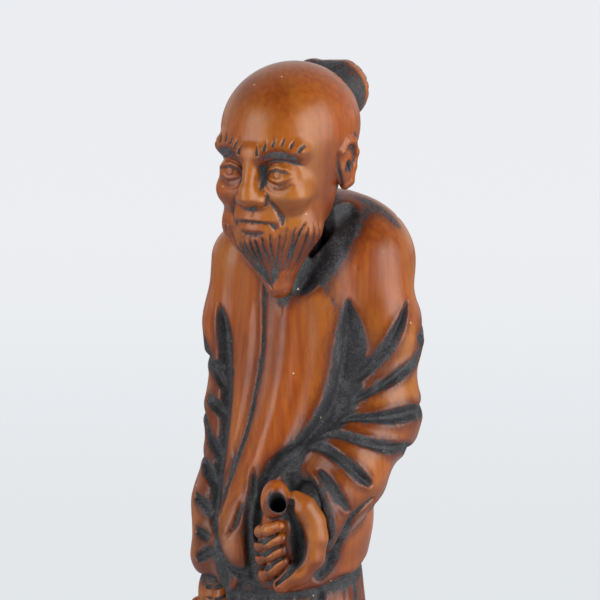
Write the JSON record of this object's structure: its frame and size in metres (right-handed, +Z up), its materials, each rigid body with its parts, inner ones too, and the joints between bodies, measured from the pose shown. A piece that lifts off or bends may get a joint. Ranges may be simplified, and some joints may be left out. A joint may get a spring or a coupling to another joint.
{
  "type": "carved wooden figure on a stand",
  "caption": "Polished wood carving of a robed, bearded old man with a topknot, on a turned stand; a free-standing ornament.",
  "frame": {"origin": "centre of the felt's underside, on the surface that the stand rests on", "axes": "+Z up along the figure, -Y the way the figure faces, +X to the figure's left"},
  "size_m": [0.076, 0.076, 0.2726],
  "materials": {
    "boxwood": "polished, warm orange-brown, dark stain in the recesses",
    "boxwood_dark": "polished, dark stained, worn at the edges",
    "hardwood": "waxed dark hardwood",
    "pegwood": "plain unfinished dowel",
    "felt": "dense felt"
  },
  "bodies": {
    "root": {"robed_body": "boxwood", "head": "boxwood", "topknot": "boxwood_dark", "topknot_peg": "pegwood", "left_fist": "boxwood", "right_hand": "boxwood", "stand": "hardwood", "stand_peg_left": "pegwood", "stand_peg_right": "pegwood", "felt_pad": "felt"}
  },
  "joints": []
}
